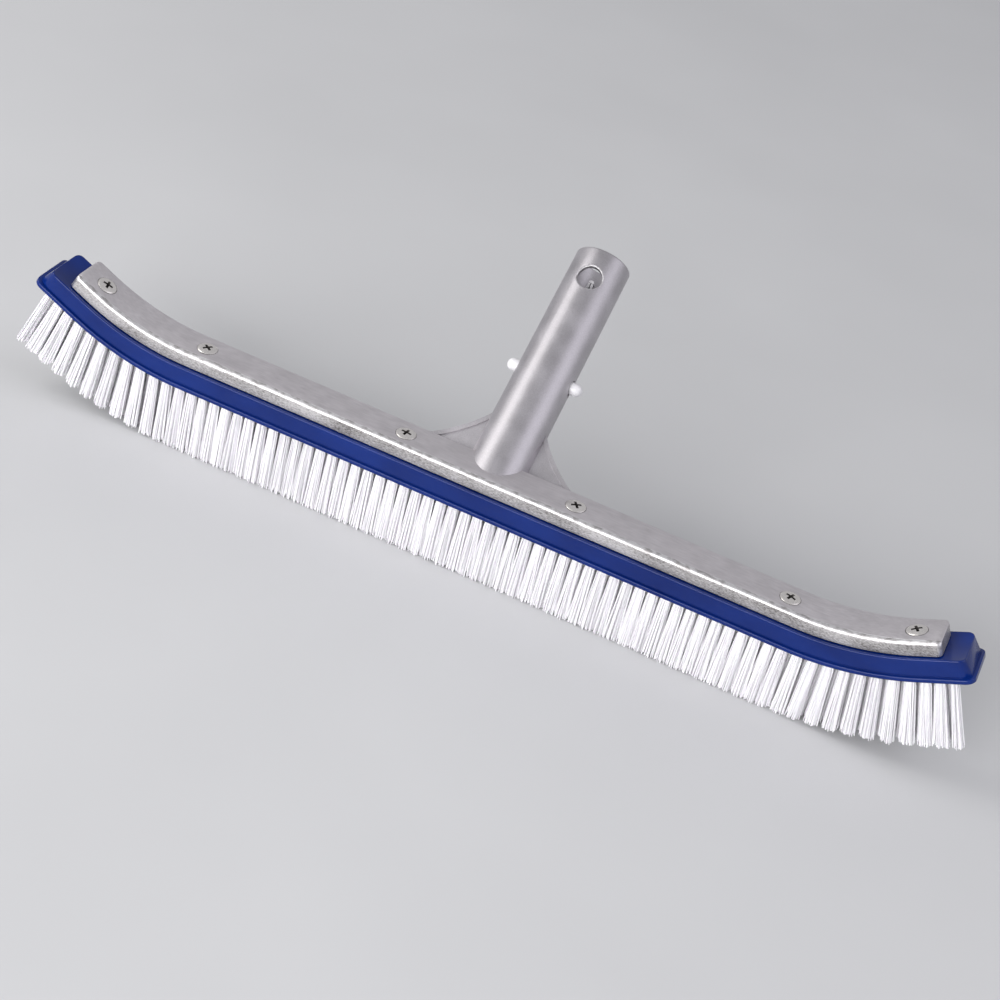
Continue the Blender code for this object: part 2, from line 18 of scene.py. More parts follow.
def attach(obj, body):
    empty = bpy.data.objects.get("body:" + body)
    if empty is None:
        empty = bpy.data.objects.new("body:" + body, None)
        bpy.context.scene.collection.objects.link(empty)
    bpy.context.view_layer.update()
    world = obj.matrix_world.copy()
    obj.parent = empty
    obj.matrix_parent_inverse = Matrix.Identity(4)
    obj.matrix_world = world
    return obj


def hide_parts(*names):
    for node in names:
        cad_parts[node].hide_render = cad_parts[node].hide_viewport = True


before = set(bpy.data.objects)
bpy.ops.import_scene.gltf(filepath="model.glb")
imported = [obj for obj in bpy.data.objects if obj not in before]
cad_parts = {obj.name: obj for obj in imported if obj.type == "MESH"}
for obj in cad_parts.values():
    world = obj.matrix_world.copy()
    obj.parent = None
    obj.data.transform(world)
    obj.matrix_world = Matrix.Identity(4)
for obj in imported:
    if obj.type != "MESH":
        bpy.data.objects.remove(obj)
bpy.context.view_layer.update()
print("pieces in the engineering model:", len(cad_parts))

# %% [markdown]
# ## Viewpoint
#
# The brush is looked at from the front and a little from the right, from about a metre away and some 34
# degrees above the floor, with the camera rolled so that the long bar falls from left to right. The three
# vectors are the camera's own right, up and backward directions. Written like this, the roll needs no
# Euler angles.

# %% Camera
camera = bpy.data.objects.new("camera", bpy.data.cameras.new("camera"))
bpy.context.scene.collection.objects.link(camera)
camera_right = Vector((0.90048, 0.37499, 0.22028))
camera_up = Vector((-0.38741, 0.46143, 0.79811))
camera_place = Vector((0.20329, -0.79337, 0.59324))
camera_back = camera_right.cross(camera_up)
camera_turn = Matrix((camera_right, camera_up, camera_back)).transposed().to_4x4()
camera.matrix_world = Matrix.Translation(camera_place) @ camera_turn
camera.data.lens = 76.75
camera.data.sensor_width = 36.0
bpy.context.scene.camera = camera
print("camera looks along", tuple(round(-part, 3) for part in camera_back))

# %% [markdown]
# ## The brush line
#
# Bar, block and tufts all follow one line: straight in the middle, then bent up by 25 degrees at each
# end so that the brush follows the curve between a pool's wall and floor. A curve object could carry
# them, but a small function is easier to reuse: it gives the place and the tilt at any distance along
# the line, and everything else is built in that little frame, with y across and z up from the bar's top.

# %% The line that the bar, block and tufts follow
TOP_LEVEL = 0.0533  # the bar's flat top above the bristle tips
STRAIGHT_HALF = 0.1550
BEND_RADIUS = 0.1230
BEND_ANGLE = math.radians(25.0)
BEND_RUN = BEND_RADIUS * BEND_ANGLE


def brush_line(along):
    """The frame at a signed distance along the brush line."""
    side = math.copysign(1.0, along)
    distance = abs(along)
    turned = min(max((distance - STRAIGHT_HALF) / BEND_RADIUS, 0.0), BEND_ANGLE)
    beyond = max(distance - STRAIGHT_HALF - BEND_RUN, 0.0)
    x = min(distance, STRAIGHT_HALF) + BEND_RADIUS * math.sin(turned) + beyond * math.cos(turned)
    rise = BEND_RADIUS * (1 - math.cos(turned)) + beyond * math.sin(turned)
    return Matrix.Translation((side * x, 0, TOP_LEVEL + rise)) @ Matrix.Rotation(-side * turned, 4, "Y")


bend_end = brush_line(STRAIGHT_HALF + BEND_RUN).to_translation()
print("the bend ends at", [round(part, 4) for part in bend_end])

# %% [markdown]
# ## Small tools
#
# Three helpers do most of the shaping. One pushes a face along a row of frames, which is how a bar or a
# block is drawn out. One turns a profile round an axis, as on a lathe. One joins and cuts finished
# shapes with exact Booleans, then keeps only the result, so no cutter is left in the scene.


# %% Helpers for making pieces
SHARP_ANGLE = math.radians(34.0)  # edges that turn by more than this stay sharp


def piece_from(name, builder, finishes):
    """An object at the origin that owns the bmesh, smooth but for its real edges."""
    bmesh.ops.recalc_face_normals(builder, faces=builder.faces)
    mesh = bpy.data.meshes.new(name)
    builder.to_mesh(mesh)
    builder.free()
    for finish in finishes:
        mesh.materials.append(finish)
    made = bpy.data.objects.new(name, mesh)
    bpy.context.scene.collection.objects.link(made)
    soften(made)
    return made


def soften(piece):
    """Smooth shading, with the sharp edges marked."""
    piece.data.shade_smooth()
    piece.data.set_sharp_from_angle(angle=SHARP_ANGLE)


def push_face(builder, face, matrix):
    """Extrudes one face and moves the copy by the matrix."""
    made = bmesh.ops.extrude_face_region(builder, geom=[face, *face.edges])["geom"]
    copy = next(item for item in made if isinstance(item, bmesh.types.BMFace))
    bmesh.ops.transform(builder, matrix=matrix, verts=list(copy.verts))
    return copy


def drawn_along(outline, frames):
    """A solid whose (y, z) outline is carried through a row of frames."""
    builder = bmesh.new()
    face = builder.faces.new([builder.verts.new(frames[0] @ Vector((0, *point))) for point in outline])
    for before, after in zip(frames, frames[1:]):
        face = push_face(builder, face, after @ before.inverted())
    return builder


def turned_on_a_lathe(profile, steps, matrix):
    """(radius, height) points turned about the matrix's Z. The profile starts and ends on the axis."""
    builder = bmesh.new()
    verts = [builder.verts.new((radius, 0, height)) for radius, height in profile]
    edges = [builder.edges.new(pair) for pair in zip(verts, verts[1:])]
    bmesh.ops.spin(
        builder,
        geom=verts + edges,
        cent=(0, 0, 0),
        axis=(0, 0, 1),
        angle=2 * math.pi,
        steps=steps,
        use_merge=True,
    )
    bmesh.ops.remove_doubles(builder, verts=builder.verts, dist=1e-6)
    bmesh.ops.transform(builder, matrix=matrix, verts=builder.verts)
    return builder


def arc(centre, radius, start, stop, steps):
    """Points on a part of a circle, angles in degrees."""
    turns = [math.radians(start + (stop - start) * step / steps) for step in range(steps + 1)]
    return [(centre[0] + radius * math.cos(turn), centre[1] + radius * math.sin(turn)) for turn in turns]


def plain_copy(piece):
    """The piece's evaluated mesh, with its modifiers worked in."""
    bpy.context.view_layer.update()
    return bpy.data.meshes.new_from_object(piece.evaluated_get(bpy.context.evaluated_depsgraph_get()))


def carve(piece, steps):
    """Joins or cuts other pieces one after the other, and removes them."""
    for other, operation in steps:
        boolean = piece.modifiers.new(other.name, "BOOLEAN")
        boolean.operation = operation
        boolean.solver = "EXACT"
        boolean.object = other
    mesh = plain_copy(piece)
    piece.modifiers.clear()
    piece.data = mesh
    for other, _ in steps:
        bpy.data.objects.remove(other)
    soften(piece)


# %% [markdown]
# ## Finishes
#
# Every finish is a Principled shader fed by noise on Object coordinates, so a pattern has its true size
# in metres and stays on the piece from every side. Object coordinates are right here because each piece
# keeps its place in its mesh. Helpers keep the recipes short: one makes grain of a given size, one
# turns a grain into a colour, one into a plain value, and one into relief.


# %% Helpers for finishes
def new_finish(name, metallic=0.0, ior=1.5):
    """A new material, its node tree and its shader."""
    material = bpy.data.materials.new(name)
    material.use_nodes = True
    shader = material.node_tree.nodes["Principled BSDF"]
    shader.inputs["Metallic"].default_value = metallic
    shader.inputs["IOR"].default_value = ior
    return material, material.node_tree, shader


def grain(tree, size, stretch=(1, 1, 1), detail=3.0):
    """A cloudy 0 to 1 pattern whose blobs are about size metres across."""
    place = tree.nodes.new("ShaderNodeTexCoord")
    mapping = tree.nodes.new("ShaderNodeMapping")
    mapping.inputs["Scale"].default_value = stretch
    noise = tree.nodes.new("ShaderNodeTexNoise")
    noise.inputs["Scale"].default_value = 1 / size
    noise.inputs["Detail"].default_value = detail
    tree.links.new(place.outputs["Object"], mapping.inputs["Vector"])
    tree.links.new(mapping.outputs["Vector"], noise.inputs["Vector"])
    return noise.outputs["Fac"]


def colour_from(tree, shader, pattern, stops):
    """Colours the base from a pattern by (position, colour) stops."""
    ramp = tree.nodes.new("ShaderNodeValToRGB")
    elements = ramp.color_ramp.elements
    while len(elements) < len(stops):
        elements.new(0.5)
    for element, (position, colour) in zip(elements, stops):
        element.position = position
        element.color = (*colour, 1.0)
    tree.links.new(pattern, ramp.inputs["Fac"])
    tree.links.new(ramp.outputs["Color"], shader.inputs["Base Color"])


def value_from(tree, pattern, low, high, socket):
    """Feeds a socket from a pattern, which seldom leaves the range of 0.3 to 0.7."""
    spread = tree.nodes.new("ShaderNodeMapRange")
    spread.inputs["From Min"].default_value = 0.3
    spread.inputs["From Max"].default_value = 0.7
    spread.inputs["To Min"].default_value = low
    spread.inputs["To Max"].default_value = high
    tree.links.new(pattern, spread.inputs["Value"])
    tree.links.new(spread.outputs["Result"], socket)


def mixed(tree, first, second, share):
    """Two patterns blended into one."""
    mix = tree.nodes.new("ShaderNodeMix")
    mix.inputs["Factor"].default_value = share
    tree.links.new(first, mix.inputs["A"])
    tree.links.new(second, mix.inputs["B"])
    return mix.outputs["Result"]


def relief(tree, shader, pattern, height, strength):
    """Bumps of the given height in metres."""
    bump = tree.nodes.new("ShaderNodeBump")
    bump.inputs["Distance"].default_value = height
    bump.inputs["Strength"].default_value = strength
    tree.links.new(pattern, bump.inputs["Height"])
    tree.links.new(bump.outputs["Normal"], shader.inputs["Normal"])


# %% [markdown]
# ### Aluminium, four ways
#
# One casting shows four surfaces. Its top was run over a grinding belt, so it is even and faintly
# scratched along its length. The bead at the edge was polished by the same belt and by handling. The
# side wall is still as it came out of shot blasting: rough, with dark pits. The tube is satin from
# tumbling. All four are metal; grain size, roughness and relief tell them apart.

# %% Aluminium finishes
ground_top, tree, shader = new_finish("ground_aluminium", metallic=1.0)
belt = grain(tree, 0.00075, stretch=(0.12, 1, 1), detail=5.0)
cloud = grain(tree, 0.010)
belt_and_cloud = mixed(tree, belt, cloud, 0.45)
colour_from(tree, shader, belt_and_cloud, [(0.32, (0.60, 0.575, 0.59)), (0.68, (0.74, 0.71, 0.73))])
value_from(tree, belt, 0.46, 0.58, shader.inputs["Roughness"])
relief(tree, shader, belt, 0.00008, 0.45)

polished_bead, tree, shader = new_finish("polished_bead", metallic=1.0)
patch = grain(tree, 0.0022, stretch=(0.6, 1, 1))
colour_from(tree, shader, patch, [(0.36, (0.42, 0.405, 0.405)), (0.58, (0.78, 0.77, 0.78))])
value_from(tree, patch, 0.52, 0.38, shader.inputs["Roughness"])
relief(tree, shader, grain(tree, 0.0006), 0.00010, 0.35)

blasted_side, tree, shader = new_finish("blasted_aluminium", metallic=0.9)
pits = grain(tree, 0.00042, stretch=(0.40, 1, 1), detail=5.0)
stain = grain(tree, 0.0110, stretch=(0.35, 1, 1))
colour_from(
    tree,
    shader,
    mixed(tree, pits, stain, 0.45),
    [(0.34, (0.17, 0.16, 0.155)), (0.44, (0.38, 0.365, 0.36)), (0.60, (0.66, 0.645, 0.64))],
)
value_from(tree, pits, 0.62, 0.40, shader.inputs["Roughness"])
relief(tree, shader, pits, 0.00022, 0.6)

satin_tube, tree, shader = new_finish("satin_aluminium", metallic=1.0)
tumble = grain(tree, 0.00060, detail=5.0)
handling = grain(tree, 0.0120)
tumble_and_wear = mixed(tree, tumble, handling, 0.5)
colour_from(tree, shader, tumble_and_wear, [(0.32, (0.44, 0.423, 0.44)), (0.68, (0.58, 0.56, 0.585))])
value_from(tree, handling, 0.40, 0.47, shader.inputs["Roughness"])
relief(tree, shader, tumble, 0.00009, 0.45)

CASTING_FINISHES = (ground_top, polished_bead, blasted_side, satin_tube)
GROUND, BEAD, BLASTED, SATIN = range(4)
print("aluminium finishes:", [finish.name for finish in CASTING_FINISHES])

# %% [markdown]
# ### Plastics and steel
#
# The block is a semi-gloss blue moulding whose colour is a little cloudy, as in all thick mouldings.
# The bristles are clear-white nylon: each filament has its own shade, which a noise stretched along the
# filaments gives. The clip is white moulded plastic. The screws are bright stainless steel. Their cross
# recess is coloured near-black: a painted shade, because the bare steel walls would catch too much light.

# %% Plastic and steel finishes
block_blue, tree, shader = new_finish("block_blue", ior=1.49)
swirl = grain(tree, 0.018, stretch=(0.5, 1, 1))
orange_peel = grain(tree, 0.0009, detail=2.0)
colour_from(tree, shader, swirl, [(0.25, (0.0013, 0.012, 0.105)), (0.75, (0.0030, 0.023, 0.175))])
value_from(tree, swirl, 0.15, 0.24, shader.inputs["Roughness"])
shader.inputs["Specular IOR Level"].default_value = 0.32
relief(tree, shader, orange_peel, 0.00008, 0.18)

nylon, tree, shader = new_finish("white_nylon", ior=1.53)
strand = grain(tree, 0.00042, stretch=(1, 1, 0.02), detail=2.0)
drift = grain(tree, 0.0065)
strand_and_drift = mixed(tree, strand, drift, 0.25)
colour_from(tree, shader, strand_and_drift, [(0.30, (0.86, 0.845, 0.89)), (0.60, (0.97, 0.96, 0.985))])
value_from(tree, strand, 0.30, 0.46, shader.inputs["Roughness"])
shader.inputs["Subsurface Weight"].default_value = 0.5
shader.inputs["Subsurface Radius"].default_value = (0.0012, 0.0011, 0.0012)
relief(tree, shader, strand, 0.00005, 0.3)

clip_white, tree, shader = new_finish("clip_white", ior=1.48)
moulding = grain(tree, 0.0035)
colour_from(tree, shader, moulding, [(0.3, (0.70, 0.69, 0.71)), (0.7, (0.82, 0.815, 0.83))])
value_from(tree, moulding, 0.28, 0.40, shader.inputs["Roughness"])
relief(tree, shader, grain(tree, 0.0005), 0.00005, 0.2)

bright_steel, tree, shader = new_finish("bright_steel", metallic=1.0)
drawn = grain(tree, 0.0007, detail=4.0)
colour_from(tree, shader, drawn, [(0.3, (0.76, 0.73, 0.70)), (0.7, (0.90, 0.87, 0.84))])
value_from(tree, drawn, 0.30, 0.42, shader.inputs["Roughness"])
relief(tree, shader, drawn, 0.00004, 0.3)

# Painted shade: the cross recess is coloured near-black, standing in for the shade inside it.
recess_painted_shade, tree, shader = new_finish("recess_painted_shade", metallic=0.7)
recess_shade_grain = grain(tree, 0.0005)
colour_from(tree, shader, recess_shade_grain, [(0.3, (0.035, 0.032, 0.030)), (0.7, (0.13, 0.12, 0.115))])
value_from(tree, recess_shade_grain, 0.5, 0.7, shader.inputs["Roughness"])
relief(tree, shader, recess_shade_grain, 0.00008, 0.4)
print("finishes in all:", len(bpy.data.materials))

# %% [markdown]
# ## The back bar
#
# The bar is one extrusion in spirit: the same section all along the brush line. Its top is a ground
# flat. Towards the front it ends in a hair groove and a broad rounded bead, towards the back in a small
# round. So the section is drawn once and pushed through frames along the line. At each end the frames
# shrink on a quarter round, which rounds the corners in plan and at the top in one go.

# %% The bar's section
BAR_HALF = 0.2193
BAR_HALF_DEPTH = 0.01025
BAR_HEIGHT = 0.0070
BAR_END_ROUND = 0.0022
FLAT_HALF = 0.00790  # from the middle to the groove before the bead
GROOVE = [(FLAT_HALF, 0.0), (0.00802, -0.00005), (0.00812, -0.00016), (0.00822, -0.00010)]
BEAD_RADIUS = 0.00195
BACK_ROUND = 0.00070

bead_crown = arc((BAR_HALF_DEPTH - BEAD_RADIUS, -BEAD_RADIUS), BEAD_RADIUS, 89, 0, 9)
front_half = [*GROOVE, *bead_crown, (BAR_HALF_DEPTH, -BAR_HEIGHT)]
back_crown = arc((BAR_HALF_DEPTH - BACK_ROUND, -BACK_ROUND), BACK_ROUND, 90, 0, 5)
bar_section = [(-y, z) for y, z in reversed(front_half)] + [*back_crown, (BAR_HALF_DEPTH, -BAR_HEIGHT)]
print("points in the bar's section:", len(bar_section))


# %% Frames along the line, with rounded ends
def stations_along(half_length, bend_steps):
    """Distances along the line that follow its bend closely."""
    bend = [STRAIGHT_HALF + BEND_RUN * step / bend_steps for step in range(bend_steps + 1)]
    half = [station for station in bend if station < half_length - 0.0005] + [half_length]
    return [-station for station in reversed(half)] + half


END_STEPS = 6


def frames_with_round_ends(
    half_length, corner, half_depth, bend_steps, shrink=0.0, foot=0.0, draft=0.0, top=0.0
):
    """Frames whose section draws in at both ends on a quarter round: by the corner in plan, and by the
    share shrink above the foot. With a draft, the end also leans outwards below its top."""
    left = []
    right = []
    for step in range(END_STEPS + 1):
        turn = math.pi / 2 * step / END_STEPS
        inset = 1 - math.sin(turn)
        narrow = Matrix.Diagonal((1, 1 - corner * inset / half_depth, 1 - shrink * inset, 1))
        about_foot = Matrix.Translation((0, 0, foot)) @ narrow @ Matrix.Translation((0, 0, -foot))
        slope = draft * (1 - step / END_STEPS)
        for side, frames in ((-1, left), (1, right)):
            lean = Matrix.Identity(4)
            lean[0][2] = -side * slope
            lean[0][3] = side * slope * top
            along = side * (half_length - corner * (1 - math.cos(turn)))
            frames.append(brush_line(along) @ lean @ about_foot)
    middle = [brush_line(along) for along in stations_along(half_length - corner, bend_steps)[1:-1]]
    return [*left, *middle, *reversed(right)]


bar_frames = frames_with_round_ends(
    BAR_HALF, BAR_END_ROUND, BAR_HALF_DEPTH, 24, shrink=0.12, foot=-BAR_HEIGHT
)
bar_builder = drawn_along(bar_section, bar_frames)
for face in bar_builder.faces:
    across = face.calc_center_median().y
    upward = abs(face.normal.z) > 0.2 and len(face.verts) == 4
    on_top = across > -FLAT_HALF and upward
    in_bead = -FLAT_HALF >= across > 0.00012 - BAR_HALF_DEPTH
    face.material_index = GROUND if on_top else BEAD if in_bead else BLASTED
casting = piece_from("casting", bar_builder, CASTING_FINISHES)
print("faces in the bar:", len(casting.data.polygons))

# %% [markdown]
# ## The pole tube
#
# The tube leans back by 36 degrees from the bar. A slightly tapered tube with a bore is lathe work, so
# its profile is turned: up the outside, round the softly broken edge of the open end, and down the bore
# to its floor. It starts well below the bar and is then cut off flat, just above the bar's underside and
# just behind the bar's front, so that it ends inside the bar.

# %% Turn the tube
TUBE_TILT = math.radians(36.0)
TUBE_SETBACK = 0.0217
TUBE_LENGTH = 0.1076
TUBE_END_RADIUS = 0.0140
TUBE_FOOT_RADIUS = 0.0145
BORE_RADIUS = 0.0114
BORE_FLOOR = 0.0146
TUBE_AXIS = Vector((0, math.cos(TUBE_TILT), math.sin(TUBE_TILT)))
TUBE_FRONT = Vector((0, -math.sin(TUBE_TILT), math.cos(TUBE_TILT)))


def tube_line(along):
    """X across the brush, Y out of the tube's front, Z along its axis from the bar's top."""
    turn = Matrix((Vector((1, 0, 0)), TUBE_FRONT, TUBE_AXIS)).transposed().to_4x4()
    return Matrix.Translation(Vector((0, TUBE_SETBACK, TOP_LEVEL)) + TUBE_AXIS * along) @ turn


def colour_all(builder, finish_number):
    for face in builder.faces:
        face.material_index = finish_number
    return builder


def cut_off(builder, point, outwards):
    """Clears what lies beyond a plane and closes the cut with a face."""
    everything = [*builder.verts, *builder.edges, *builder.faces]
    bmesh.ops.bisect_plane(builder, geom=everything, plane_co=point, plane_no=outwards, clear_outer=True)
    open_edges = [edge for edge in builder.edges if edge.is_boundary]
    bmesh.ops.contextual_create(builder, geom=open_edges)


FOOT_RUN = 0.0610  # how far the turned tube runs on below the bar's top, before it is cut off
OUTER_EDGE = 0.0009  # rounds at the open end
INNER_EDGE = 0.0006
tube_profile = [
    (0, -FOOT_RUN),
    (TUBE_FOOT_RADIUS, -FOOT_RUN),
    *arc((TUBE_END_RADIUS - OUTER_EDGE, TUBE_LENGTH - OUTER_EDGE), OUTER_EDGE, 0, 90, 5),
    *arc((BORE_RADIUS + INNER_EDGE, TUBE_LENGTH - INNER_EDGE), INNER_EDGE, 90, 180, 4),
    (BORE_RADIUS, BORE_FLOOR + 0.0015),
    (BORE_RADIUS - 0.0015, BORE_FLOOR),
    (0, BORE_FLOOR),
]
tube_builder = turned_on_a_lathe(tube_profile, 96, tube_line(0))
cut_off(tube_builder, (0, 0, TOP_LEVEL - BAR_HEIGHT + 0.0005), (0, 0, -1))
cut_off(tube_builder, (0, 0.0006 - BAR_HALF_DEPTH, 0), (0, -1, 0))
tube = piece_from("tube", colour_all(tube_builder, SATIN), CASTING_FINISHES)
print("faces in the tube:", len(tube.data.polygons))

# %% [markdown]
# ## The webs
#
# Two flat webs brace the tube against the back of the bar. Each is a plate in the plane of the tube's
# axis, with a hollow outer edge that sweeps from the bar up to the tube, and a shallow pocket inside a
# raised rim. The plate is one face pushed to its thickness. A second, thinner plate with the same edge,
# moved inwards by the rim's width, cuts the pocket.

# %% Webs with their rims
WEB_REACH = 0.0488
WEB_RISE = 0.0258
WEB_HOLLOW = 0.28
WEB_THICKNESS = 0.0026
RIM_WIDTH = 0.0021
POCKET_DEPTH = 0.0008
SIDE_WALL = 0.0025  # the straight part of a web's end, at the bar
WEB_INSIDE = 0.004  # the webs run on into the tube, as far as this from its axis
POCKET_INSIDE = 0.006
web_root = -(TUBE_SETBACK - BAR_HALF_DEPTH + SIDE_WALL) / math.cos(TUBE_TILT)
web_start = Vector((WEB_REACH, web_root + SIDE_WALL))
web_top = Vector((TUBE_FOOT_RADIUS - 0.0010, web_start.y + WEB_RISE + SIDE_WALL))
web_corner = Vector((web_top.x, web_start.y))
web_pull = (web_start + web_top) / 2 * (1 - WEB_HOLLOW) + web_corner * WEB_HOLLOW
hollow = []
for step in range(25):
    share = step / 24
    rest = 1 - share
    hollow.append(rest**2 * web_start + 2 * share * rest * web_pull + share**2 * web_top)


def web_plate(name, outline, side, low, high):
    """A plate from low to high in front of the tube's middle plane."""
    plate = bmesh.new()
    flat = [plate.verts.new(tube_line(0) @ Vector((side * spot.x, low, spot.y))) for spot in outline]
    push_face(plate, plate.faces.new(flat), Matrix.Translation(TUBE_FRONT * (high - low)))
    return piece_from(name, colour_all(plate, SATIN), CASTING_FINISHES)


web_outline = [
    *hollow,
    Vector((WEB_INSIDE, web_top.y)),
    Vector((WEB_INSIDE, web_root)),
    Vector((WEB_REACH, web_root)),
]
inwards = Vector((-1, -1)).normalized() * RIM_WIDTH
pocket_edge = [spot + inwards for spot in hollow]
pocket_foot = web_root - SIDE_WALL
pocket_outline = [
    *pocket_edge,
    Vector((POCKET_INSIDE, pocket_edge[-1].y)),
    Vector((POCKET_INSIDE, pocket_foot)),
    Vector((pocket_edge[0].x, pocket_foot)),
]
pocket_floor = WEB_THICKNESS - POCKET_DEPTH
pocket_over = WEB_THICKNESS + 0.001
braces = []
for side, name in ((-1, "left"), (1, "right")):
    brace = web_plate(f"web_{name}", web_outline, side, 0.0, WEB_THICKNESS)
    pocket = web_plate(f"pocket_{name}", pocket_outline, side, pocket_floor, pocket_over)
    carve(brace, [(pocket, "DIFFERENCE")])
    braces.append(brace)
print("webs:", [brace.name for brace in braces])

# %% [markdown]
# ## Holes in the casting
#
# The tube has one cross hole near its open end, right through front and back, and a smaller hole on each
# side for a spring pin. The bar has six countersunk screw holes. Each is a cutter of its own. The cross
# hole has its edge broken, which a round wire laid exactly on the edge cuts as an even cove.

# %% Cutters
HANG_HOLE_RADIUS = 0.0061
HANG_HOLE_AT = TUBE_LENGTH - 0.0161
PIN_HOLE_RADIUS = 0.0043
PIN_AT = TUBE_LENGTH - 0.0669
PIN_HOLE_DROP = 0.0007  # the pin swings towards the foot as it goes in
THROUGH = 0.04  # the length of a drill that goes through the tube
RIM_WIRE_RADIUS = 0.00060
RIM_STEPS = 72
SCREWS_AT = (-0.2068, -0.1489, -0.0434, 0.0434, 0.1489, 0.2068)
HEAD_RADIUS = 0.00485
SINK_RADIUS = 0.00522
PROBE_OUT = 0.0035  # where a countersink's depth is measured, from its centre


def drill(name, matrix, radius, depth, sides):
    """A round cutter centred on the matrix, along its Z."""
    builder = bmesh.new()
    bmesh.ops.create_cone(
        builder,
        cap_ends=True,
        segments=sides,
        radius1=radius,
        radius2=radius,
        depth=depth,
        matrix=matrix,
    )
    return piece_from(name, colour_all(builder, SATIN), CASTING_FINISHES)


across_front = tube_line(HANG_HOLE_AT) @ Matrix.Rotation(math.pi / 2, 4, "X")
hang_drill = drill("hang_drill", across_front, HANG_HOLE_RADIUS, THROUGH, 64)
across_side = tube_line(PIN_AT - PIN_HOLE_DROP) @ Matrix.Rotation(math.pi / 2, 4, "Y")
pin_drill = drill("pin_drill", across_side, PIN_HOLE_RADIUS, THROUGH, 40)


def hole_rim(front):
    """The edge of the cross hole on the tube's outside, at the front (1) or the back (-1)."""
    rim = []
    for step in range(RIM_STEPS):
        turn = 2 * math.pi * step / RIM_STEPS
        x = HANG_HOLE_RADIUS * math.cos(turn)
        along = HANG_HOLE_AT + HANG_HOLE_RADIUS * math.sin(turn)
        radius = TUBE_FOOT_RADIUS - (TUBE_FOOT_RADIUS - TUBE_END_RADIUS) * along / TUBE_LENGTH
        out = math.sqrt(radius**2 - x**2)
        rim.append(tube_line(along) @ Vector((x, front * out, 0)))
    return rim


def rim_cutter(name, rim):
    """A closed round wire through the points, whose cut leaves a polished edge."""
    curve = bpy.data.curves.new(name, "CURVE")
    curve.dimensions = "3D"
    curve.bevel_depth = RIM_WIRE_RADIUS
    curve.bevel_resolution = 3
    spline = curve.splines.new("POLY")
    spline.points.add(len(rim) - 1)
    for spot, point in zip(spline.points, rim):
        spot.co = (*point, 1.0)
    spline.use_cyclic_u = True
    path = bpy.data.objects.new(name, curve)
    bpy.context.scene.collection.objects.link(path)
    builder = bmesh.new()
    builder.from_mesh(plain_copy(path))
    bmesh.ops.remove_doubles(builder, verts=builder.verts, dist=1e-6)
    bpy.data.objects.remove(path)
    return piece_from(name, colour_all(builder, BEAD), CASTING_FINISHES)


rim_cutters = [rim_cutter(f"rim_cutter_{front}", hole_rim(front)) for front in (1, -1)]
sinks = []
sink_profile = [
    (0, -0.009),
    (0.0024, -0.009),
    (0.0024, -0.0022),
    (SINK_RADIUS, 0.00012),
    (SINK_RADIUS, 0.0021),
    (0, 0.0021),
]
for number, along in enumerate(SCREWS_AT):
    seam_turn = Matrix.Rotation(0.3 + 0.2 * number, 4, "Z")
    sink_builder = turned_on_a_lathe(sink_profile, 46, brush_line(along) @ seam_turn)
    sinks.append(piece_from(f"sink_{number}", colour_all(sink_builder, BLASTED), CASTING_FINISHES))
print("cutters:", 2 + len(rim_cutters) + len(sinks))

# %% Join and cut the casting
carve(tube, [(brace, "UNION") for brace in braces])
carve(tube, [(hang_drill, "DIFFERENCE"), (pin_drill, "DIFFERENCE")])
carve(tube, [(cutter, "DIFFERENCE") for cutter in rim_cutters])
carve(casting, [(tube, "UNION")])
for sink in sinks:
    carve(casting, [(sink, "DIFFERENCE")])
bpy.context.view_layer.update()
for along in SCREWS_AT:
    look = brush_line(along)
    start = look @ Vector((PROBE_OUT, 0.0005, 0.004))
    struck, spot, _, _ = casting.ray_cast(start, look.to_3x3() @ Vector((0, 0, -1)))
    depth = round((look.inverted() @ spot).z * 1000, 2) if struck else None
    print("countersink depth in mm, 3.5 mm from its centre:", depth)
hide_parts("handle_casting")
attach(casting, "brush")
print("faces in the finished casting:", len(casting.data.polygons))

# %% [markdown]
# ## The block
#
# The blue block is one moulding: a body under the bar, and a thin lip round its foot that stands proud
# on all sides and further out at the ends. The two have different corners, so each is drawn along the
# line by itself and the exact Boolean fuses them. Round holes for the tufts are cut from below.

# %% Body and lip of the block
BLOCK_HALF = 0.2293
BLOCK_HALF_DEPTH = 0.01275
BLOCK_TOP = -0.0073
BLOCK_BOTTOM = -0.0183
LIP_TOP = -0.0161
LIP_HALF_DEPTH = 0.01415
LIP_END = 0.0040  # from the top of the block's end to the lip's end
END_DRAFT = 0.0026  # of the block's end, from its top to the lip
BLOCK_CORNER = 0.0030
LIP_CORNER = 0.0042
TOP_EDGE = 0.00065
LIP_EDGE = 0.0006
FOOT_EDGE = 0.0005

body_half = [
    (BLOCK_HALF_DEPTH - 0.0013, BLOCK_TOP - 0.00012),
    (BLOCK_HALF_DEPTH - 0.0010, BLOCK_TOP - 0.00002),
    *arc((BLOCK_HALF_DEPTH - TOP_EDGE, BLOCK_TOP - TOP_EDGE), TOP_EDGE, 90, 0, 6),
    (BLOCK_HALF_DEPTH - 0.00006, BLOCK_TOP - 0.0016),
    (BLOCK_HALF_DEPTH - 0.00002, LIP_TOP + 0.0006),
    (BLOCK_HALF_DEPTH - 0.00025, LIP_TOP + 0.00030),
    (BLOCK_HALF_DEPTH - 0.00025, LIP_TOP - 0.0005),
]
body_section = [(-y, z) for y, z in reversed(body_half)] + body_half
body_frames = frames_with_round_ends(
    BLOCK_HALF,
    BLOCK_CORNER,
    BLOCK_HALF_DEPTH,
    28,
    shrink=0.05,
    foot=LIP_TOP - 0.0005,
    draft=END_DRAFT / (BLOCK_TOP - LIP_TOP),
    top=BLOCK_TOP,
)
block = piece_from("block", drawn_along(body_section, body_frames), [block_blue])

